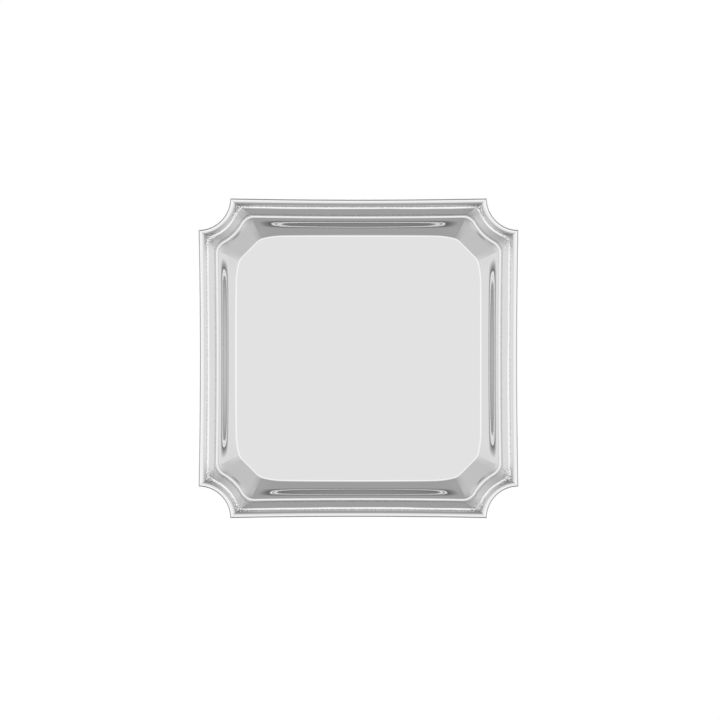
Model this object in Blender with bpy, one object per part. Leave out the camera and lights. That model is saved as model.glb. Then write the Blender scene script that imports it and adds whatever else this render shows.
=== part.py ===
"""Square silver salver with incurved corners: a raised body, a soldered border, a bead and four feet.

Metres, +Z up. The origin is on the table under the middle of the salver, +Y is its back.
"""

import math

import bmesh
import bpy
from mathutils import Matrix, Vector

# Plan of the salver
HALF_WIDTH = 0.1015       # middle to the points where the edges meet the corner notches
NOTCH_RADIUS = 0.0200     # concave quarter circle cut out of each corner
SIDE_BOW = 0.0008         # how far the middle of each edge lies inside its two ends
FLANGE_EDGE = 0.0010      # the sheet stops this far inside the border's outer face
BORDER_WIDTH = 0.0042
VALLEY_INSET = 0.0054     # outer edge to the lowest line of the hollow between border and bead
CREST_INSET = 0.0105      # outer edge to the top of that hollow, where the bead sits
BEAD_INSET = 0.0115       # outer edge to the middle of the bead
BEAD_NOTCH_RADIUS = 0.0323
BEAD_FILLET = 0.0085      # convex bend between a straight of the bead and its concave corner
BEAD_HALF_WIDTH = 0.0010
LIP_INSET = 0.0129        # outer edge to where the wall starts down
FLOOR_HALF_WIDTH = 0.0768
FLOOR_CHAMFER_START = 0.0605
FLOOR_EASE = 0.0017       # how far each floor edge draws in before it meets the chamfer
FLOOR_EASE_LENGTH = 0.0130

# Heights
FOOT_HEIGHT = 0.0100
SHEET = 0.0008
SOLDER_GAP = 0.00015
HOLLOW_SLOPE = 26         # degrees, from the valley up to the crest
HOLLOW_RADIUS = 0.0025    # of the bend at the foot of that slope
BORDER_RISE = 0.0016      # crown of the border above the valley
BORDER_CROWN_INSET = 0.0013
BORDER_LIP_DROP = 0.0004  # the border reaches this far below the sheet, over its edge
BEAD_RISE = 0.0006        # above the crest

# Wall section: slopes in degrees, lengths along the ground
LIP_RADIUS = 0.0015
STEEP_SLOPE = 52
STEEP_RUN = 0.0034
KNEE_RADIUS = 0.0060
GENTLE_SLOPE = 25
GENTLE_RUN = 0.0018
TOE_RADIUS = 0.0050

# Feet
FOOT_PLACE = 0.0600       # x and y of each foot
FOOT_PAD_RADIUS = 0.0048
FOOT_NECK_RADIUS = 0.0024
FOOT_TOP_RADIUS = 0.0050

# How finely curves are divided
SIDE_STEPS = 6
ARC_STEPS = 5
ARC_RUNS = 3              # a corner is a fillet, a concave arc and a fillet
CORNER_STEPS = ARC_RUNS * ARC_STEPS
BEND_STEPS = 4
FOOT_STEPS = 20

CORNER = Vector((HALF_WIDTH, HALF_WIDTH))
CUSP = HALF_WIDTH - NOTCH_RADIUS


def clear_scene():
    for obj in list(bpy.data.objects):
        bpy.data.objects.remove(obj, do_unlink=True)


def silver(name, roughness):
    material = bpy.data.materials.new(name)
    material.use_nodes = True
    shader = material.node_tree.nodes["Principled BSDF"]
    shader.inputs["Base Color"].default_value = (0.93, 0.92, 0.90, 1.0)
    shader.inputs["Metallic"].default_value = 1.0
    shader.inputs["Roughness"].default_value = roughness
    return material


def make_object(name, mesh_maker, material):
    """Object from a function that fills a bmesh."""
    bm = bmesh.new()
    mesh_maker(bm)
    bmesh.ops.recalc_face_normals(bm, faces=bm.faces[:])
    mesh = bpy.data.meshes.new(name)
    bm.to_mesh(mesh)
    bm.free()
    mesh.shade_smooth()
    mesh.set_sharp_from_angle(angle=math.radians(32))
    mesh.materials.append(material)
    obj = bpy.data.objects.new(name, mesh)
    bpy.context.collection.objects.link(obj)
    return obj


def between(start, end, steps):
    """Steps + 1 evenly spaced values."""
    return [start + (end - start) * i / steps for i in range(steps + 1)]


def arc(centre, radius, start, end, steps):
    """Points on an arc in plan, angles in radians."""
    return [centre + radius * Vector((math.cos(a), math.sin(a))) for a in between(start, end, steps)]


def turned(points, quarter):
    """Plan points turned clockwise by quarter turns, from the back edge towards the right one."""
    turn = Matrix.Rotation(-quarter * math.pi / 2, 2)
    return [turn @ p for p in points]


# ---------------------------------------------------------------- outlines in plan

def edge_y(x, inset):
    """Y of the bowed back edge, moved in by inset."""
    return HALF_WIDTH - SIDE_BOW * (1 - (x / CUSP) ** 2) - inset


def mitre_x(inset):
    """X where the back edge meets the concave corner, both moved in by inset."""
    x = CUSP
    for _ in range(12):
        depth = HALF_WIDTH - edge_y(x, inset)
        x = HALF_WIDTH - math.sqrt((NOTCH_RADIUS + inset) ** 2 - depth ** 2)
    return x


def mitred_side(inset, gap=0.0):
    """Back edge from its left mitre to its right one."""
    reach = mitre_x(inset) - gap
    return [Vector((x, edge_y(x, inset))) for x in between(-reach, reach, SIDE_STEPS)]


def mitred_corner(inset, gap=0.0):
    """Concave corner at the back right, from the back edge round to the right edge."""
    radius = NOTCH_RADIUS + inset
    x = mitre_x(inset)
    start = math.atan2(edge_y(x, inset) - HALF_WIDTH, x - HALF_WIDTH) % math.tau + gap / radius
    end = 1.5 * math.pi - (start - math.pi)
    return arc(CORNER, radius, start, end, CORNER_STEPS)


def fillet_centre():
    """Middle of the bead's convex bend at the right end of the back edge."""
    x = CUSP
    for _ in range(12):
        y = edge_y(x, BEAD_INSET + BEAD_FILLET)
        reach = BEAD_NOTCH_RADIUS + BEAD_FILLET
        x = HALF_WIDTH - math.sqrt(reach ** 2 - (HALF_WIDTH - y) ** 2)
    return Vector((x, y))


def bent_side(inset):
    """Back straight of a line that runs beside the bead."""
    reach = fillet_centre().x
    return [Vector((x, edge_y(x, inset))) for x in between(-reach, reach, SIDE_STEPS)]


def bent_corner(inset):
    """Back right corner of the same line: convex bend, concave arc, convex bend."""
    centre = fillet_centre()
    other_centre = Vector((centre.y, centre.x))
    towards = CORNER - centre
    meet = math.atan2(towards.y, towards.x)
    shift = inset - BEAD_INSET
    bend = BEAD_FILLET - shift
    first = arc(centre, bend, math.pi / 2, meet, ARC_STEPS)
    middle = arc(CORNER, BEAD_NOTCH_RADIUS + shift, math.pi + meet, 1.5 * math.pi - meet, ARC_STEPS)
    last = arc(other_centre, bend, math.pi / 2 - meet, 0, ARC_STEPS)
    return first + middle[1:] + last[1:]


def floor_y(x):
    """Y of the floor's back edge, which draws in softly towards the chamfers."""
    start = FLOOR_CHAMFER_START - FLOOR_EASE_LENGTH
    t = max(0.0, (abs(x) - start) / FLOOR_EASE_LENGTH)
    return FLOOR_HALF_WIDTH - FLOOR_EASE * t * t


def floor_side():
    return [Vector((x, floor_y(x))) for x in between(-FLOOR_CHAMFER_START, FLOOR_CHAMFER_START, SIDE_STEPS)]


def floor_corner():
    start = Vector((FLOOR_CHAMFER_START, floor_y(FLOOR_CHAMFER_START)))
    end = Vector((start.y, start.x))
    return [start.lerp(end, i / CORNER_STEPS) for i in range(CORNER_STEPS + 1)]


def ring(side, corner):
    """Closed outline from the back side and the back right corner, repeated on all four."""
    points = []
    for quarter in range(4):
        points += turned(side[:-1] + corner[:-1], quarter)
    return points


def mitred_ring(inset):
    return ring(mitred_side(inset), mitred_corner(inset))


def bent_ring(inset):
    return ring(bent_side(inset), bent_corner(inset))


# ---------------------------------------------------------------- sections of the wall and the rim

def wall_section():
    """(Run, drop) pairs from the lip of the well to the floor."""
    steep = math.radians(STEEP_SLOPE)
    gentle = math.radians(GENTLE_SLOPE)
    points = [(0.0, 0.0)]

    def bend(radius, start, end):
        run, drop = points[-1]
        for a in between(start, end, BEND_STEPS)[1:]:
            points.append((run + radius * abs(math.sin(a) - math.sin(start)),
                           drop + radius * abs(math.cos(start) - math.cos(a))))

    def straight(run, slope):
        points.append((points[-1][0] + run, points[-1][1] + run * math.tan(slope)))

    bend(LIP_RADIUS, 0.0, steep)
    straight(STEEP_RUN, steep)
    bend(KNEE_RADIUS, steep, gentle)
    straight(GENTLE_RUN, gentle)
    bend(TOE_RADIUS, gentle, 0.0)
    return points


WALL = wall_section()
WALL_RUN, WALL_DROP = WALL[-1]


def hollow_section():
    """(Inset, rise) pairs from the valley up to the crest."""
    slope = math.radians(HOLLOW_SLOPE)
    points = []
    for a in between(0.0, slope, BEND_STEPS):
        points.append((VALLEY_INSET + HOLLOW_RADIUS * math.sin(a), HOLLOW_RADIUS * (1 - math.cos(a))))
    inset, rise = points[-1]
    points.append((CREST_INSET, rise + (CREST_INSET - inset) * math.tan(slope)))
    return points


HOLLOW = hollow_section()
HOLLOW_RISE = HOLLOW[-1][1]
FLOOR_TOP = FOOT_HEIGHT + SOLDER_GAP + SHEET
CREST_TOP = FLOOR_TOP + WALL_DROP
VALLEY_TOP = CREST_TOP - HOLLOW_RISE


# ---------------------------------------------------------------- mesh helpers

def add_ring(bm, points, height):
    return [bm.verts.new((p.x, p.y, height)) for p in points]


def bridge_rings(bm, first, second):
    count = len(first)
    for i in range(count):
        j = (i + 1) % count
        bm.faces.new((first[i], first[j], second[j], second[i]))


def sweep(bm, section, path_maker):
    """Solid bar: each (inset, height) of the section runs along path_maker(inset)."""
    lines = []
    for inset, height in section:
        lines.append([bm.verts.new((p.x, p.y, height)) for p in path_maker(inset)])
    count = len(section)
    for i in range(count):
        a, b = lines[i], lines[(i + 1) % count]
        for k in range(len(a) - 1):
            bm.faces.new((a[k], a[k + 1], b[k + 1], b[k]))
    bm.faces.new([line[0] for line in lines])
    bm.faces.new([line[-1] for line in reversed(lines)])


# ---------------------------------------------------------------- pieces

def tray_body_mesh(bm):
    """Upper skin of the sheet; a Solidify modifier gives it its thickness."""
    valley = mitred_ring(VALLEY_INSET)
    crest = bent_ring(CREST_INSET)
    rings = [
        add_ring(bm, mitred_ring(FLANGE_EDGE), VALLEY_TOP),
        add_ring(bm, mitred_ring(BORDER_WIDTH), VALLEY_TOP),
    ]
    for inset, rise in HOLLOW:
        blend = (inset - VALLEY_INSET) / (CREST_INSET - VALLEY_INSET)
        outline = [p.lerp(q, blend) for p, q in zip(valley, crest)]
        rings.append(add_ring(bm, outline, VALLEY_TOP + rise))
    lip = bent_ring(LIP_INSET)
    foot = ring(floor_side(), floor_corner())
    for run, drop in WALL:
        blend = run / WALL_RUN
        outline = [a.lerp(b, blend) for a, b in zip(lip, foot)]
        rings.append(add_ring(bm, outline, CREST_TOP - drop))
    for first, second in zip(rings, rings[1:]):
        bridge_rings(bm, first, second)
    bm.faces.new(rings[-1])


def border_section():
    """(Inset, height) outline of the border: crowned near its outer face, falling inwards."""
    top = VALLEY_TOP + BORDER_RISE
    seat = VALLEY_TOP + SOLDER_GAP
    bottom = VALLEY_TOP - SHEET - BORDER_LIP_DROP
    inner = FLANGE_EDGE - SOLDER_GAP
    bevel = 0.0002
    outline = [(inner, bottom), (bevel, bottom), (0.0, bottom + bevel)]
    shoulder = top - 0.0009
    for a in between(math.pi, math.pi / 2, 4):
        outline.append((BORDER_CROWN_INSET * (1 + math.cos(a)), shoulder + (top - shoulder) * math.sin(a)))
    fall = BORDER_WIDTH - BORDER_CROWN_INSET
    toe = seat + 0.00015
    for a in between(0.0, math.pi / 2, 4)[1:]:
        outline.append((BORDER_CROWN_INSET + fall * math.sin(a), toe + (top - toe) * math.cos(a)))
    outline += [(BORDER_WIDTH, seat), (inner, seat)]
    return outline


def bead_section():
    """(Inset, height) outline of the bead: a low arch, flat where it is soldered."""
    seat = CREST_TOP + SOLDER_GAP
    rise = BEAD_RISE - SOLDER_GAP
    radius = (BEAD_HALF_WIDTH ** 2 + rise ** 2) / (2 * rise)
    reach = math.asin(BEAD_HALF_WIDTH / radius)
    outline = []
    for a in between(-reach, reach, 8):
        outline.append((BEAD_INSET - radius * math.sin(a), seat + rise - radius * (1 - math.cos(a))))
    return outline


def bead_mesh(bm):
    lines = [add_ring(bm, bent_ring(inset), height) for inset, height in bead_section()]
    for i, line in enumerate(lines):
        bridge_rings(bm, line, lines[(i + 1) % len(lines)])


def foot_section():
    """(Radius, height) line down the side of a foot, from its top plate to its pad."""
    pad = FOOT_HEIGHT * 0.20
    collar = FOOT_HEIGHT * 0.86
    waist = FOOT_HEIGHT * 0.55
    return [
        (FOOT_TOP_RADIUS, FOOT_HEIGHT),
        (FOOT_TOP_RADIUS, collar),
        ((FOOT_TOP_RADIUS + FOOT_NECK_RADIUS) * 0.45, (collar + waist) / 2),
        (FOOT_NECK_RADIUS, waist),
        ((FOOT_PAD_RADIUS + FOOT_NECK_RADIUS) * 0.48, (waist + pad) / 2),
        (FOOT_PAD_RADIUS, pad),
        (FOOT_PAD_RADIUS, pad * 0.5),
        (FOOT_PAD_RADIUS * 0.85, 0.0),
    ]


def foot_mesh(bm):
    """Small turned-looking casting: plate, waisted neck and round pad."""
    rings = []
    for radius, height in foot_section():
        outline = arc(Vector((0, 0)), radius, 0.0, -math.tau, FOOT_STEPS)[:-1]
        rings.append(add_ring(bm, outline, height))
    for first, second in zip(rings, rings[1:]):
        bridge_rings(bm, first, second)
    bm.faces.new(rings[0])
    bm.faces.new(rings[-1])


# ---------------------------------------------------------------- assembly

def build_tray_body():
    body = make_object("tray_body", tray_body_mesh, silver("body_silver", 0.08))
    solid = body.modifiers.new("sheet", "SOLIDIFY")
    solid.thickness = SHEET
    solid.offset = -1.0
    solid.use_even_offset = True


def build_border():
    metal = silver("border_silver", 0.14)
    half_gap = SOLDER_GAP / 2
    sides = ("back", "right", "front", "left")
    corners = ("back_right", "front_right", "front_left", "back_left")
    for quarter in range(4):
        def side_path(inset, q=quarter):
            return turned(mitred_side(inset, half_gap), q)

        def corner_path(inset, q=quarter):
            return turned(mitred_corner(inset, half_gap), q)

        make_object(f"border_{sides[quarter]}", lambda bm, p=side_path: sweep(bm, border_section(), p), metal)
        make_object(f"border_corner_{corners[quarter]}",
                    lambda bm, p=corner_path: sweep(bm, border_section(), p), metal)


def build_feet():
    metal = silver("foot_silver", 0.18)
    places = {"foot_back_right": (1, 1), "foot_front_right": (1, -1),
              "foot_front_left": (-1, -1), "foot_back_left": (-1, 1)}
    for name, (x, y) in places.items():
        foot = make_object(name, foot_mesh, metal)
        foot.location = (x * FOOT_PLACE, y * FOOT_PLACE, 0.0)


def main():
    clear_scene()
    build_tray_body()
    build_border()
    make_object("well_bead", bead_mesh, silver("bead_silver", 0.12))
    build_feet()


main()
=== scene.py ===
"""Looks of the square silver salver: fine meshes, polished silver, pale floor and soft studio light."""
import math

import bpy
import numpy as np
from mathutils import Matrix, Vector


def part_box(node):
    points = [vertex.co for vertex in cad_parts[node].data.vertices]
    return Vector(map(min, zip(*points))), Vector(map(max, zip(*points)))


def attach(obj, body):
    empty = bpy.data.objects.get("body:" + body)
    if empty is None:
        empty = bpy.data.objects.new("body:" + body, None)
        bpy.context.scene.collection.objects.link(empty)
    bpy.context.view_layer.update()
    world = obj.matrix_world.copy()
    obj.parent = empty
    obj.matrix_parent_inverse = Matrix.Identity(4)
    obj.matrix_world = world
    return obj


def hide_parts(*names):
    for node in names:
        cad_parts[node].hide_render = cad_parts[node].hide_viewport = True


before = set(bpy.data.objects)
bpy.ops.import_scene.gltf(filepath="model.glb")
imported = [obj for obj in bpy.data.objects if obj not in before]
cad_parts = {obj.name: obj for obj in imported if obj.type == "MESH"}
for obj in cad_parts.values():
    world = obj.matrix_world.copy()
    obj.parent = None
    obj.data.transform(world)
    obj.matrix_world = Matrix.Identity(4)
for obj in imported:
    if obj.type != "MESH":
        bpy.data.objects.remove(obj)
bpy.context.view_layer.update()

BODY = "root"
SIDES = ("back", "right", "front", "left")
CORNERS = ("back_right", "front_right", "front_left", "back_left")

# ------------------------------------------------------------------ sizes, in metres
# an inset is a distance in from the salver's outer edge
HALF_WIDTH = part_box("border_back")[1].y
NOTCH_RADIUS = 0.0200
SIDE_BOW = 0.0008          # how far the middle of a side lies inside its ends
FLANGE_EDGE = 0.0010
BORDER_ROUNDING = 0.0003   # under the outer face
BORDER_CROWN_INSET = 0.0014
BORDER_WIDTH = 0.0042
BORDER_LIP_DROP = 0.0004
BORDER_TOE = 0.0003        # how high the border still stands where it meets the hollow
VALLEY_INSET = 0.0054
VALLEY_FILLET = 0.0007
CREST_INSET = 0.0105
BEAD_INSET = 0.0115
BEAD_NOTCH_RADIUS = 0.0323
BEAD_FILLET = 0.0085
BEAD_HALF_WIDTH = 0.0010
BEAD_SEAT_GAP = 0.00002    # solder under the bead
BORDER_SEAT_GAP = 0.00005  # solder under the border
JOINT_GAP = 0.00003        # solder at each end of a border piece
LIP_INSET = 0.0129
LIP_ROUNDING = 0.0007
LIP_EASE = 0.0004          # the sheet has dropped this far where the wall starts
FLOOR_HALF_WIDTH = 0.0768
FLOOR_CHAMFER_START = 0.0605
FLOOR_EASE = 0.0017        # how far the ends of the floor's sides curve in
FLOOR_EASE_LENGTH = 0.0130
SHEET = 0.0008
WALL_CREASE_X = 0.0675     # where a long wall meets a corner wall, at the lip
CREASE_SOFTNESS = 0.0004   # length of the rounding on each side of that crease
FLOOR_SOFTNESS = 0.0022    # the same at the corners of the floor
UNEVENNESS = 0.00010       # hand work on the hollow

FLOOR_UNDERSIDE, CREST_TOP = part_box("tray_body")[0].z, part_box("tray_body")[1].z
FLOOR_TOP = FLOOR_UNDERSIDE + SHEET
BORDER_BOTTOM, BORDER_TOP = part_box("border_back")[0].z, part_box("border_back")[1].z
VALLEY_TOP = BORDER_BOTTOM + BORDER_LIP_DROP + SHEET
BEAD_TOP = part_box("well_bead")[1].z
LIP_TOP = CREST_TOP - LIP_EASE
WALL_DROP = LIP_TOP - FLOOR_TOP

CUSP = HALF_WIDTH - NOTCH_RADIUS
CORNER = np.array((HALF_WIDTH, HALF_WIDTH))

# ------------------------------------------------------------------ slopes, in degrees
# each is the first slope, then (next slope, where it starts to ease in, where it holds)
# across a section the places are insets, or distances from the bead's middle
BORDER_OUTER_SLOPES = (84, (40, 0.0, 0.0001), (3, 0.0006, 0.0009), (0, 0.0013, BORDER_CROWN_INSET))
BORDER_INNER_SLOPES = (0, (13, BORDER_CROWN_INSET, 0.0017), (40, 0.0023, 0.0032))
HOLLOW_SLOPES = (0, (4, 0.0047, 0.0049), (26, 0.0057, 0.0066))
BEAD_SLOPES = (4, (66, 0.0004, 0.0009))
# down the wall they run from 0 at the lip to 1 at the floor
CORNER_WALL_SLOPES = (24, (36, -0.01, 0.05), (33, 0.20, 0.80), (0, 0.80, 1.00))
LONG_WALL_SLOPES = (20, (0, 0.74, 1.00))
LONG_WALL_STEEPER = 33     # added round the steepest place
LONG_WALL_STEEPEST = 0.27
LONG_WALL_SPREAD = 0.25
# how fully the back, right, front and left walls reach the long wall's slopes
LONG_WALL_SHARES = (0.86, 0.86, 0.96, 0.98)

# ------------------------------------------------------------------ foot: (share of the way down, radius)
FOOT_PROFILE = ((0.0, 0.0050), (0.13, 0.0050), (0.20, 0.0043), (0.32, 0.0028), (0.45, 0.0024),
                (0.58, 0.0027), (0.70, 0.0039), (0.80, 0.0047), (0.90, 0.0048), (1.0, 0.0042))
FOOT_GROOVE = 0.14         # painted shade in a band just under the plate

# ------------------------------------------------------------------ how finely curves are divided
SIDE_STEPS = 96
CORNER_STEPS = 60
WALL_STEPS = 60
RIM_STEPS = 64
MOULDING_STEPS = 30
BEAD_STEPS = 32
FOOT_STEPS = 48
FOOT_ROWS = 40
SECTION_SAMPLES = 200
FLOOR_RINGS = (0.995, 0.985, 0.96, 0.92, 0.85, 0.75, 0.6, 0.45, 0.3, 0.15, 0.05)

# ------------------------------------------------------------------ looks
SILVER = (0.955, 0.953, 0.955, 1)
# black of the pits in the cast skin, of faint random marks, and of the painted shade in recesses, beside
# the bead and under the foot plates
PIT_AND_SHADE_BLACK = (0.030, 0.029, 0.032, 1)
GRAIN_DEPTH = 0.00030
FAINT_MARKS = 0.06
PAPER = (0.92, 0.92, 0.92, 1)
PAPER_GLOW = 0.45
PAPER_REACH = 6.0
WHITE = (1, 1, 1, 1)
LAMP_COLOUR = (1.0, 0.995, 1.0, 1)

# plain soft studio light, as brightness: broad overhead, softer left and right, dim in front and behind
OVERHEAD_LIGHT = 1.00
CAMERA_SHADE = 0.80        # the camera hides part of the overhead light
SIDE_LIGHT = 0.75
END_LIGHT = 0.36
HORIZON_LIGHT = 0.10
# where one level turns into the next, by how far up a direction points: 0 level, 1 straight up
SIDES_START, SIDES_FULL = 0.0, 0.30
OVERHEAD_START, OVERHEAD_FULL = 0.85, 0.98
SHADE_START, SHADE_FULL = 0.994, 0.997

CAMERA_HEIGHT = 2.0
SENSOR_WIDTH = 36          # millimetres
PICTURE_WIDTH = 2.25       # over the salver's width
PICTURE_SHIFT = (0.00208, -0.00243)    # over the picture's width


# ------------------------------------------------------------------ curves

def smooth(x, low, high):
    """0 below low, 1 above high, an S curve between."""
    t = np.clip((np.asarray(x, float) - low) / (high - low), 0.0, 1.0)
    return t * t * (3 - 2 * t)


def bump_at(x, centre, width):
    return np.exp(-((x - centre) / width) ** 2)


def line_at(x, centre, half_width):
    """1 across a line with crisp edges, 0 beside it."""
    return 1 - smooth(np.abs(x - centre), 0.7 * half_width, 1.4 * half_width)


def slopes_at(x, slopes):
    """Slope at each x, where slopes is one of the lists at the top of this file."""
    first, *changes = slopes
    out = np.full(len(x), float(first))
    for target, start, full in changes:
        out += (target - first) * smooth(x, start, full)
        first = target
    return out


def climb(x, degrees):
    """Height gained along x at these slopes."""
    slope = np.tan(np.radians(degrees))
    return np.concatenate(([0.0], np.cumsum((slope[1:] + slope[:-1]) / 2 * np.diff(x))))


def waves(count, size, seed):
    """Slight unevenness of hand work along a closed line."""
    rng = np.random.default_rng(seed)
    at = np.arange(count) / count * math.tau
    out = np.zeros(count)
    for k in (5, 9, 14, 23, 37, 61):
        out += math.sqrt(5 / k) * np.sin(k * at + rng.uniform(0, math.tau))
    return size * out


# ------------------------------------------------------------------ outlines in plan

def arc(centre, radius, start, end, steps=64):
    a = np.linspace(start, end, steps + 1)
    return np.array(centre) + radius * np.column_stack((np.cos(a), np.sin(a)))


def corner_points(points):
    """CORNER_STEPS + 1 points along a polyline, closer together towards both of its ends."""
    points = np.asarray(points, float)
    gaps = np.hypot(*np.diff(points, axis=0).T)
    length = np.concatenate(([0.0], np.cumsum(gaps)))
    t = np.linspace(-1.0, 1.0, CORNER_STEPS + 1)
    at = length[-1] * (0.5 + 0.5 * np.sign(t) * (1 - (1 - np.abs(t)) ** 1.8))
    return np.column_stack((np.interp(at, length, points[:, 0]), np.interp(at, length, points[:, 1])))


def side_points(reach, y_at):
    """SIDE_STEPS + 1 points of the back side, from -reach to reach."""
    x = np.linspace(-reach, reach, SIDE_STEPS + 1)
    return np.column_stack((x, y_at(x)))


def turned(points, quarter):
    """Plan points turned clockwise by quarter turns, from the back edge towards the right one."""
    x, y = np.asarray(points, float).T
    for _ in range(quarter):
        x, y = y, -x
    return np.column_stack((x, y))


def ring(side, corner):
    """Closed outline from a back side and the back right corner that follows it."""
    return np.vstack([turned(np.vstack((side[:-1], corner[:-1])), q) for q in range(4)])


def edge_y(x, inset):
    """Y of the bowed back edge, moved in by inset."""
    return HALF_WIDTH - SIDE_BOW * (1 - (x / CUSP) ** 2) - inset


def mitre_x(inset):
    """X where the back edge meets the concave corner, both moved in by inset."""
    x = CUSP
    for _ in range(20):
        depth = HALF_WIDTH - edge_y(x, inset)
        x = HALF_WIDTH - math.sqrt((NOTCH_RADIUS + inset) ** 2 - depth ** 2)
    return x


def mitred_side(inset, gap=0.0):
    return side_points(mitre_x(inset) - gap, lambda x: edge_y(x, inset))


def mitred_corner(inset, gap=0.0):
    radius = NOTCH_RADIUS + inset
    x = mitre_x(inset)
    start = math.atan2(edge_y(x, inset) - HALF_WIDTH, x - HALF_WIDTH) % math.tau + gap / radius
    return corner_points(arc(CORNER, radius, start, 2.5 * math.pi - start))


def mitred_ring(inset):
    return ring(mitred_side(inset), mitred_corner(inset))


def bead_bend():
    """Centre of the bead's convex bend at the right end of the back side."""
    x = CUSP
    for _ in range(20):
        y = edge_y(x, BEAD_INSET + BEAD_FILLET)
        reach = BEAD_NOTCH_RADIUS + BEAD_FILLET
        x = HALF_WIDTH - math.sqrt(reach ** 2 - (HALF_WIDTH - y) ** 2)
    return np.array((x, y))


BEND = bead_bend()


def bent_side(inset):
    return side_points(BEND[0], lambda x: edge_y(x, inset))


def bent_corner(inset):
    """Convex bend, concave arc, convex bend: the bead's line at the back right."""
    meet = math.atan2(*(CORNER - BEND)[::-1])
    shift = inset - BEAD_INSET
    radius = BEAD_FILLET - shift
    first = arc(BEND, radius, math.pi / 2, meet)
    middle = arc(CORNER, BEAD_NOTCH_RADIUS + shift, math.pi + meet, 1.5 * math.pi - meet)
    last = arc(BEND[::-1], radius, math.pi / 2 - meet, 0)
    return corner_points(np.vstack((first, middle[1:], last[1:])))


def bent_ring(inset):
    return ring(bent_side(inset), bent_corner(inset))


def chamfered_ring(side, softness):
    """Closed outline with straight corners, each slightly rounded where it meets its sides."""
    start, end = side[-1], side[-1][::-1]
    along = (end - start) / np.hypot(*(end - start))
    before = (start - side[-2]) / np.hypot(*(start - side[-2]))
    near = start + before * softness
    far = near[::-1]
    t = np.linspace(0, 1, 24)[:, None]

    def turn(a, b, c):
        return a * (1 - t) ** 2 + 2 * b * t * (1 - t) + c * t ** 2

    first = turn(start, near, near + along * softness)
    last = turn(far - along * softness, far, end)
    return ring(side, corner_points(np.vstack((first, last))))


def floor_ring():
    """Outline of the floor, with the ends of its sides curved in."""
    def y_at(x):
        t = (np.abs(x) - FLOOR_CHAMFER_START + FLOOR_EASE_LENGTH) / FLOOR_EASE_LENGTH
        return FLOOR_HALF_WIDTH - FLOOR_EASE * np.clip(t, 0.0, None) ** 2

    return chamfered_ring(side_points(FLOOR_CHAMFER_START, y_at), FLOOR_SOFTNESS)


def crease_ring():
    """Outline with straight corners at lip height, which the wall's flat faces aim for."""
    return chamfered_ring(side_points(WALL_CREASE_X, lambda x: edge_y(x, LIP_INSET)), CREASE_SOFTNESS)


def cusp_distance(outline):
    """Distance of each point to the nearest inner corner of the border."""
    x, y = np.abs(outline).T
    cusp_x = mitre_x(BORDER_WIDTH)
    cusp_y = edge_y(cusp_x, BORDER_WIDTH)
    return np.minimum(np.hypot(x - cusp_x, y - cusp_y), np.hypot(x - cusp_y, y - cusp_x))


# ------------------------------------------------------------------ meshes

def at_height(outline, height):
    return np.column_stack((outline, np.broadcast_to(height, len(outline))))


def sheet_faces(rows, count, rows_closed=False, count_closed=True):
    """Quads between neighbouring rows of count points each."""
    faces = []
    for r in range(rows if rows_closed else rows - 1):
        n = (r + 1) % rows
        for i in range(count if count_closed else count - 1):
            j = (i + 1) % count
            faces.append((r * count + i, n * count + i, n * count + j, r * count + j))
    return faces


def new_object(name, verts, faces, materials, grain=0.0, painted_shade_and_marks=0.0, sharp=40):
    """Mesh object. grain and painted shade mark its points, and sharp is the least angle of a sharp edge.
    """
    mesh = bpy.data.meshes.new(name)
    mesh.from_pydata([tuple(v) for v in verts], [], faces)
    mesh.validate()
    for label, marks in (("grain", grain), ("painted_shade_and_marks", painted_shade_and_marks)):
        layer = mesh.attributes.new(label, "FLOAT", "POINT")
        layer.data.foreach_set("value", np.broadcast_to(marks, len(verts)).astype(np.float32))
    for material in materials:
        mesh.materials.append(material)
    mesh.shade_smooth()
    mesh.set_sharp_from_angle(angle=math.radians(sharp))
    obj = bpy.data.objects.new(name, mesh)
    bpy.context.scene.collection.objects.link(obj)
    return obj


def finish_piece(obj, node):
    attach(obj, BODY)
    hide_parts(node)
    return obj


# ------------------------------------------------------------------ materials

def math_node(tree, operation, a, b):
    made = tree.nodes.new("ShaderNodeMath")
    made.operation = operation
    for socket, value in zip(made.inputs, (a, b)):
        if isinstance(value, (int, float)):
            socket.default_value = value
        else:
            tree.links.new(value, socket)
    return made.outputs[0]


def map_range(tree, value, low, high, to_low, to_high):
    made = tree.nodes.new("ShaderNodeMapRange")
    made.inputs["From Min"].default_value = low
    made.inputs["From Max"].default_value = high
    made.inputs["To Min"].default_value = to_low
    made.inputs["To Max"].default_value = to_high
    tree.links.new(value, made.inputs["Value"])
    return made.outputs[0]


def blended(tree, a, b, amount):
    """a where amount is 0, b where it is 1."""
    first = math_node(tree, "MULTIPLY", math_node(tree, "SUBTRACT", 1.0, amount), a)
    return math_node(tree, "ADD", first, math_node(tree, "MULTIPLY", amount, b))


def noise(tree, coords, scale, detail):
    made = tree.nodes.new("ShaderNodeTexNoise")
    made.inputs["Scale"].default_value = scale
    made.inputs["Detail"].default_value = detail
    tree.links.new(coords, made.inputs["Vector"])
    return made.outputs["Fac"]


def attribute(tree, name):
    made = tree.nodes.new("ShaderNodeAttribute")
    made.attribute_name = name
    return made.outputs["Fac"]


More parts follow.
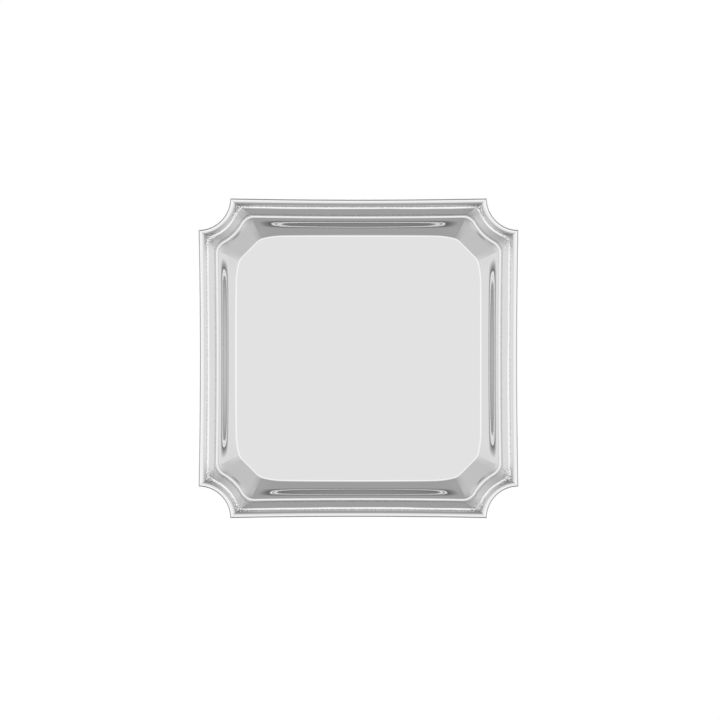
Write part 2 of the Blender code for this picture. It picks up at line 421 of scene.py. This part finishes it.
def silver(name, shine, marked=True):
    """Polished silver. 'grain' is cast skin that polish doesn't reach, with dark pits; the second
    attribute is painted black shade in recesses, beside the bead and under the foot plates. Unmarked
    pieces get faint random marks for both.
    """
    material = bpy.data.materials.new(name)
    material.use_nodes = True
    tree = material.node_tree
    shader = tree.nodes["Principled BSDF"]
    shader.inputs["Metallic"].default_value = 1.0
    coords = tree.nodes.new("ShaderNodeTexCoord").outputs["Object"]
    grit = noise(tree, coords, 1300, 1.0)
    patchy = noise(tree, coords, 300, 2.0)
    cloud = noise(tree, coords, 26, 4.0)
    if marked:
        grain = attribute(tree, "grain")
        painted_shade_and_marks = attribute(tree, "painted_shade_and_marks")
    else:
        grain = painted_shade_and_marks = map_range(tree, cloud, 0.0, 1.0, 0.0, FAINT_MARKS)

    # painted shade: the silver turns towards black where the second attribute is set
    black = math_node(tree, "MULTIPLY", painted_shade_and_marks, map_range(tree, patchy, 0.36, 0.50, 0.78, 1.0))
    pits = math_node(tree, "MULTIPLY", grain, map_range(tree, grit, 0.44, 0.58, 0.62, 0.0))
    colour = tree.nodes.new("ShaderNodeMix")
    colour.data_type = "RGBA"
    colour.inputs["A"].default_value = SILVER
    colour.inputs["B"].default_value = PIT_AND_SHADE_BLACK
    tree.links.new(math_node(tree, "MAXIMUM", black, pits), colour.inputs["Factor"])
    tree.links.new(colour.outputs["Result"], shader.inputs["Base Color"])

    rough = map_range(tree, cloud, 0.35, 0.65, shine * 0.75, shine * 1.25)
    rough = math_node(tree, "ADD", rough, math_node(tree, "MULTIPLY", grain, 0.16))
    tree.links.new(rough, shader.inputs["Roughness"])

    cast = tree.nodes.new("ShaderNodeBump")
    cast.inputs["Distance"].default_value = GRAIN_DEPTH
    tree.links.new(grain, cast.inputs["Strength"])
    tree.links.new(grit, cast.inputs["Height"])
    tree.links.new(cast.outputs[0], shader.inputs["Normal"])
    return material


# ------------------------------------------------------------------ the raised sheet

def hollow_heights(insets):
    """Height above the valley at these insets, from the border to the bead."""
    fine = np.linspace(BORDER_WIDTH, BEAD_INSET, 4 * SECTION_SAMPLES)
    full = CREST_TOP - VALLEY_TOP
    rise = climb(fine, slopes_at(fine, HOLLOW_SLOPES))
    rise *= full / np.interp(CREST_INSET, fine, rise)
    height = np.interp(insets, fine, np.minimum(rise, full))
    away = smooth(insets, BORDER_WIDTH - 0.0004, VALLEY_INSET - 0.0003)
    return height + VALLEY_FILLET * (1 - away) ** 1.5


def hollow_marks(outline, inset):
    """(grain, painted shade) along one line between border and bead, the same on every side: cast skin
    near the cusps and along both edges, and painted shade in a thin line beside the bead.
    """
    cusps = bump_at(cusp_distance(outline), 0.0, 0.0066)
    edges = bump_at(inset, BORDER_WIDTH + 0.0005, 0.0005) + bump_at(inset, CREST_INSET - 0.0006, 0.0004)
    grain = np.clip(0.45 * edges + 0.9 * cusps, 0, 1)
    # painted shade in the crease where the sheet meets the bead
    painted_shade_and_marks = np.full(len(outline), 0.30 * line_at(inset, CREST_INSET - 0.0003, 0.0003))
    return grain, painted_shade_and_marks


def wall_drops():
    """Shares of the wall's drop at WALL_STEPS steps, mid-length of a long wall and near the corners."""
    finer = 40
    t = np.linspace(0, 1, finer * WALL_STEPS + 1)
    steep = np.exp(-np.abs((t - LONG_WALL_STEEPEST) / LONG_WALL_SPREAD) ** 3)
    middle = climb(t, slopes_at(t, LONG_WALL_SLOPES) + LONG_WALL_STEEPER * steep)
    corner = climb(t, slopes_at(t, CORNER_WALL_SLOPES))
    return (middle / middle[-1])[::finer], (corner / corner[-1])[::finer]


def long_wall_share():
    """How much of the long wall's slopes each point of an outline takes: none at the corners."""
    s = np.linspace(-1.0, 1.0, SIDE_STEPS + 1)[:-1]
    side = 1 - 0.25 * s ** 2 - 0.75 * s ** 8
    return np.concatenate([np.append(share * side, np.zeros(CORNER_STEPS)) for share in LONG_WALL_SHARES])


def body_rows():
    """(Outline, heights, grain, painted shade) rows from the sheet's edge to the middle of the floor."""
    outer, inner = mitred_ring(BORDER_WIDTH), bent_ring(BEAD_INSET)
    none = np.zeros(len(outer))
    rows = [(mitred_ring(FLANGE_EDGE), none + VALLEY_TOP, none, none)]
    uneven = waves(len(outer), UNEVENNESS, 4)
    for t in np.linspace(0, 1, RIM_STEPS + 1):
        inset = BORDER_WIDTH + (BEAD_INSET - BORDER_WIDTH) * t
        outline = outer * (1 - t) + inner * t
        heights = hollow_heights(inset + uneven * math.sin(math.pi * t))
        rows.append((outline, VALLEY_TOP + heights, *hollow_marks(outline, inset)))
    rows.append((bent_ring(LIP_INSET - LIP_ROUNDING), none + CREST_TOP, none, none))

    lip, crease, floor = bent_ring(LIP_INSET), crease_ring(), floor_ring()
    middle, corner = wall_drops()
    share = long_wall_share()
    for i, t in enumerate(np.linspace(0, 1, WALL_STEPS + 1)):
        bent = (1 - t) ** 12       # the lip's bends fade out just below it
        outline = (lip * bent + crease * (1 - bent)) * (1 - t) + floor * t
        drop = middle[i] * share + corner[i] * (1 - share)
        rows.append((outline, LIP_TOP - WALL_DROP * drop, none, none))
    for scale in FLOOR_RINGS:
        rows.append((floor * scale, none + FLOOR_TOP, none, none))
    return rows


def make_body(material, underside):
    rows = body_rows()
    count = len(rows[0][0])
    verts = np.vstack([at_height(outline, heights) for outline, heights, _, _ in rows])
    grain = np.concatenate([row[2] for row in rows])
    painted_shade_and_marks = np.concatenate([row[3] for row in rows])
    faces = sheet_faces(len(rows), count)
    faces.append(tuple((len(rows) - 1) * count + i for i in reversed(range(count))))
    body = new_object("tray_sheet", verts, faces, [material, underside], grain, painted_shade_and_marks)
    solid = body.modifiers.new("sheet", "SOLIDIFY")
    solid.thickness = SHEET
    solid.offset = -1.0
    solid.material_offset = 1
    solid.material_offset_rim = 1
    finish_piece(body, "tray_body")


# ------------------------------------------------------------------ border, bead and feet

def border_section():
    """(Inset, height) round the border moulding, starting under its outer face."""
    seat = VALLEY_TOP + BORDER_SEAT_GAP
    inner = FLANGE_EDGE - 0.0001
    points = [(inner, BORDER_BOTTOM), (BORDER_ROUNDING, BORDER_BOTTOM)]
    for a in np.linspace(0, math.pi / 2, 7)[1:]:
        height = BORDER_BOTTOM + BORDER_ROUNDING * (1 - math.cos(a))
        points.append((BORDER_ROUNDING * (1 - math.sin(a)), height))
    # outer face: upright, then a narrow bevel of 40 degrees, then an almost flat crown
    fine = np.linspace(0.0, BORDER_CROWN_INSET, SECTION_SAMPLES)
    rise = climb(fine, slopes_at(fine, BORDER_OUTER_SLOPES))
    for inset in np.linspace(0.0, 1.0, MOULDING_STEPS) ** 1.4 * BORDER_CROWN_INSET:
        points.append((inset, BORDER_TOP - rise[-1] + np.interp(inset, fine, rise)))
    # inner face: down from the crown to the hollow
    fine = np.linspace(BORDER_CROWN_INSET, BORDER_WIDTH, SECTION_SAMPLES)
    fall = climb(fine, slopes_at(fine, BORDER_INNER_SLOPES))
    fall *= (BORDER_TOP - VALLEY_TOP - BORDER_TOE) / fall[-1]
    for inset in np.linspace(BORDER_CROWN_INSET, BORDER_WIDTH, MOULDING_STEPS)[1:]:
        points.append((inset, BORDER_TOP - np.interp(inset, fine, fall)))
    points += [(BORDER_WIDTH, seat), (inner, seat)]
    return points


def border_marks(outline, inset):
    """(grain, painted shade) along one line of a border piece: painted shade in the recess near each
    cusp, with cast skin there and where the border meets the hollow.
    """
    # painted shade in the recess near each cusp
    painted_shade_and_marks = 0.55 * bump_at(cusp_distance(outline), 0.0, 0.0110) * smooth(inset, 0.0030, 0.0040)
    return painted_shade_and_marks + 0.35 * smooth(inset, 0.0038, 0.0042), painted_shade_and_marks


def border_bar(name, section, lines, material):
    """Closed bar with one line of points, in plan, for each (inset, height) of its section."""
    rows, steps = len(lines), len(lines[0])
    verts = np.vstack([at_height(line, height) for line, (_, height) in zip(lines, section)])
    marks = [border_marks(line, inset) for line, (inset, _) in zip(lines, section)]
    grain, painted_shade_and_marks = (np.concatenate(mark) for mark in zip(*marks))
    faces = sheet_faces(rows, steps, rows_closed=True, count_closed=False)
    faces.append(tuple(r * steps for r in reversed(range(rows))))
    faces.append(tuple(r * steps + steps - 1 for r in range(rows)))
    return new_object(name, verts, faces, [material], grain, painted_shade_and_marks, sharp=30)


def make_border(material):
    section = border_section()
    sides = [mitred_side(inset, JOINT_GAP) for inset, _ in section]
    corners = [mitred_corner(inset, JOINT_GAP) for inset, _ in section]
    for q in range(4):
        lines = [turned(line, q) for line in sides]
        side = border_bar(f"moulding_{SIDES[q]}", section, lines, material)
        finish_piece(side, f"border_{SIDES[q]}")
        lines = [turned(line, q) for line in corners]
        corner = border_bar(f"moulding_corner_{CORNERS[q]}", section, lines, material)
        finish_piece(corner, f"border_corner_{CORNERS[q]}")


def make_bead(material):
    """Low wire along the lip, worn almost flat on top."""
    seat = CREST_TOP + BEAD_SEAT_GAP
    fine = np.linspace(0, BEAD_HALF_WIDTH, SECTION_SAMPLES)
    fall = climb(fine, slopes_at(fine, BEAD_SLOPES))
    fall *= (BEAD_TOP - seat) / fall[-1]
    across = BEAD_HALF_WIDTH * np.linspace(-1, 1, BEAD_STEPS + 1)
    heights = BEAD_TOP - np.interp(np.abs(across), fine, fall)
    rings = [bent_ring(BEAD_INSET - x) for x in across]
    verts = np.vstack([at_height(outline, height) for outline, height in zip(rings, heights)])
    faces = sheet_faces(len(rings), len(rings[0]), rows_closed=True)
    bead = new_object("lip_bead", verts, faces, [material], sharp=50)
    finish_piece(bead, "well_bead")


def foot_radii(levels):
    """Radius at each level down a foot, from 0 at its plate to 1 at the table, with softened corners."""
    fine = np.linspace(0, 1, 2 * SECTION_SAMPLES)
    window = 25
    radii = np.pad(np.interp(fine, *zip(*FOOT_PROFILE)), window // 2, mode="edge")
    return np.interp(levels, fine, np.convolve(radii, np.ones(window) / window, "valid"))


def make_feet(material):
    levels = np.linspace(0, 1, FOOT_ROWS)
    radii = foot_radii(levels)
    # painted shade in a band just under the plate
    painted_shade_and_marks = np.repeat(0.6 * bump_at(levels, FOOT_GROOVE, 0.05), FOOT_STEPS)
    faces = sheet_faces(FOOT_ROWS, FOOT_STEPS)
    faces.append(tuple(reversed(range(FOOT_STEPS))))
    faces.append(tuple((FOOT_ROWS - 1) * FOOT_STEPS + k for k in range(FOOT_STEPS)))
    for label in CORNERS:
        low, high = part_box(f"foot_{label}")
        centre = (low + high) / 2
        heights = high.z + (low.z - high.z) * levels
        circles = [arc(centre.xy, radius, 0, math.tau, FOOT_STEPS)[:-1] for radius in radii]
        verts = np.vstack([at_height(circle, height) for circle, height in zip(circles, heights)])
        foot = new_object(f"cast_foot_{label}", verts, faces, [material], painted_shade_and_marks=painted_shade_and_marks)
        finish_piece(foot, f"foot_{label}")


# ------------------------------------------------------------------ floor, light and camera

def make_floor():
    verts = [(-PAPER_REACH, -PAPER_REACH, 0), (PAPER_REACH, -PAPER_REACH, 0),
             (PAPER_REACH, PAPER_REACH, 0), (-PAPER_REACH, PAPER_REACH, 0)]
    mesh = bpy.data.meshes.new("studio_floor")
    mesh.from_pydata(verts, [], [(0, 1, 2, 3)])
    floor = bpy.data.objects.new("studio_floor", mesh)
    bpy.context.scene.collection.objects.link(floor)
    material = bpy.data.materials.new("floor_paper")
    material.use_nodes = True
    paper = material.node_tree.nodes["Principled BSDF"]
    paper.inputs["Roughness"].default_value = 0.9
    paper.inputs["Specular IOR Level"].default_value = 0.0
    paper.inputs["Base Color"].default_value = PAPER
    paper.inputs["Emission Color"].default_value = WHITE
    paper.inputs["Emission Strength"].default_value = PAPER_GLOW
    mesh.materials.append(material)


def make_world():
    """Brightness falls smoothly from overhead to the horizon, more slowly towards the left and right."""
    world = bpy.data.worlds.new("studio")
    bpy.context.scene.world = world
    world.use_nodes = True
    tree = world.node_tree
    tree.nodes.clear()
    split = tree.nodes.new("ShaderNodeSeparateXYZ")
    tree.links.new(tree.nodes.new("ShaderNodeTexCoord").outputs["Generated"], split.inputs[0])
    x, y, up = split.outputs

    sideways = math_node(tree, "MULTIPLY", x, x)
    level = math_node(tree, "ADD", sideways, math_node(tree, "MULTIPLY", y, y))
    across = math_node(tree, "DIVIDE", sideways, math_node(tree, "MAXIMUM", level, 1e-6))
    around = map_range(tree, across, 0.0, 1.0, END_LIGHT, SIDE_LIGHT)
    sides = map_range(tree, up, SIDES_START, SIDES_FULL, 0.0, 1.0)
    overhead = map_range(tree, up, OVERHEAD_START, OVERHEAD_FULL, 0.0, 1.0)
    shade = map_range(tree, up, SHADE_START, SHADE_FULL, 0.0, 1.0)
    light = blended(tree, HORIZON_LIGHT, around, sides)
    light = blended(tree, light, OVERHEAD_LIGHT, overhead)
    light = blended(tree, light, CAMERA_SHADE, shade)

    lamps = tree.nodes.new("ShaderNodeBackground")
    lamps.inputs["Color"].default_value = LAMP_COLOUR
    tree.links.new(light, lamps.inputs["Strength"])
    # seen directly, the backdrop is plain white
    backdrop = tree.nodes.new("ShaderNodeBackground")
    backdrop.inputs["Color"].default_value = WHITE
    path = tree.nodes.new("ShaderNodeLightPath")
    mix = tree.nodes.new("ShaderNodeMixShader")
    tree.links.new(path.outputs["Is Camera Ray"], mix.inputs[0])
    tree.links.new(lamps.outputs[0], mix.inputs[1])
    tree.links.new(backdrop.outputs[0], mix.inputs[2])
    out = tree.nodes.new("ShaderNodeOutputWorld")
    tree.links.new(mix.outputs[0], out.inputs["Surface"])


def make_camera():
    """Camera straight above the salver, looking down with +Y up in the picture."""
    data = bpy.data.cameras.new("camera")
    camera = bpy.data.objects.new("camera", data)
    bpy.context.scene.collection.objects.link(camera)
    camera.location = (0, 0, CAMERA_HEIGHT)
    data.sensor_width = SENSOR_WIDTH
    data.lens = SENSOR_WIDTH * (CAMERA_HEIGHT - BORDER_TOP) / (2 * HALF_WIDTH * PICTURE_WIDTH)
    data.clip_end = 20
    data.shift_x, data.shift_y = PICTURE_SHIFT
    bpy.context.scene.camera = camera


def main():
    make_body(silver("body_silver", 0.05), silver("underside_silver", 0.12, marked=False))
    make_border(silver("border_silver", 0.07))
    make_bead(silver("bead_silver", 0.07))
    make_feet(silver("foot_silver", 0.12))
    make_floor()
    make_world()
    make_camera()
    bpy.context.scene.view_settings.view_transform = "Standard"


main()
